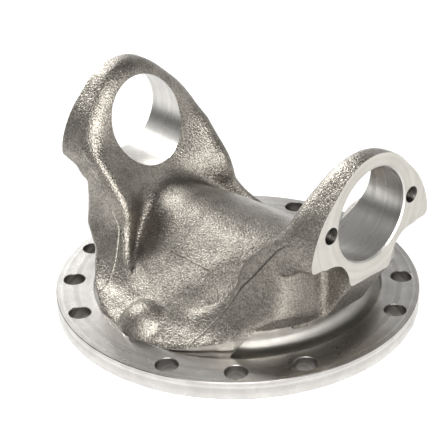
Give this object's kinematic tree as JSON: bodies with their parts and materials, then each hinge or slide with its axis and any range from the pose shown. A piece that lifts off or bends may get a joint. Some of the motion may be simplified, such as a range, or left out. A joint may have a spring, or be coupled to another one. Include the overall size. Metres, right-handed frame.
{
  "type": "flange yoke",
  "caption": "Forged flange yoke: a round bolting flange with a solid hub, and two ears that hold one pair of cross bores with tapped holes beside them.",
  "frame": {"origin": "centre of the flange's mounting face", "axes": "+Z from the mounting face towards the ears, X along the cross bores, Y across them"},
  "size_m": [0.2032, 0.2032, 0.118],
  "materials": {
    "forged_steel": "forged skin, machined on the flange, ear faces and bores"
  },
  "bodies": {
    "root": {"flange_yoke": "forged_steel"}
  },
  "joints": []
}
